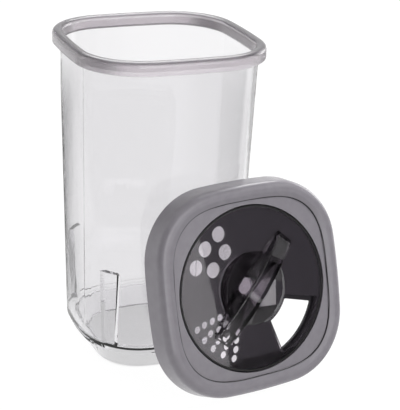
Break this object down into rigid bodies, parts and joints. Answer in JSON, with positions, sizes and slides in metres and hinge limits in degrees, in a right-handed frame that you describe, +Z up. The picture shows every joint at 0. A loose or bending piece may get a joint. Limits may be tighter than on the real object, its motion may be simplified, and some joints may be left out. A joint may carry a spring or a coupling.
{
  "type": "spice jar",
  "caption": "Square tapered clear jar with a soft rim ring, and a square lid with a turning sprinkler dial stood against its front.",
  "frame": {"origin": "on the jar's axis, in the plane of its foot", "axes": "+Z up along the jar, -Y the front that the lid leans on"},
  "size_m": [0.1044, 0.1109, 0.1356],
  "materials": {
    "jar_body": "clear, faintly smoky, polished",
    "rim_ring": "soft, translucent grey",
    "lid_frame": "satin mid grey",
    "sifter_plate": "charcoal, glossy",
    "dial": "clear light smoke, polished"
  },
  "bodies": {
    "jar": {"jar_body": "jar_body", "rim_ring": "rim_ring"},
    "lid": {"lid_frame": "lid_frame", "sifter_plate": "sifter_plate"},
    "dial": {"dial": "dial"}
  },
  "joints": [
    {"name": "lid_lift", "type": "slide", "parent": "jar", "child": "lid", "axis": [0.1082, -0.6988, 0.7071], "range_m": [0, 0.12]},
    {"name": "dial_turn", "type": "hinge", "parent": "lid", "child": "dial", "pos_m": [0.02277, -0.0559, 0.04403], "axis": [0.1469, -0.949, 0.279], "continuous": true}
  ]
}
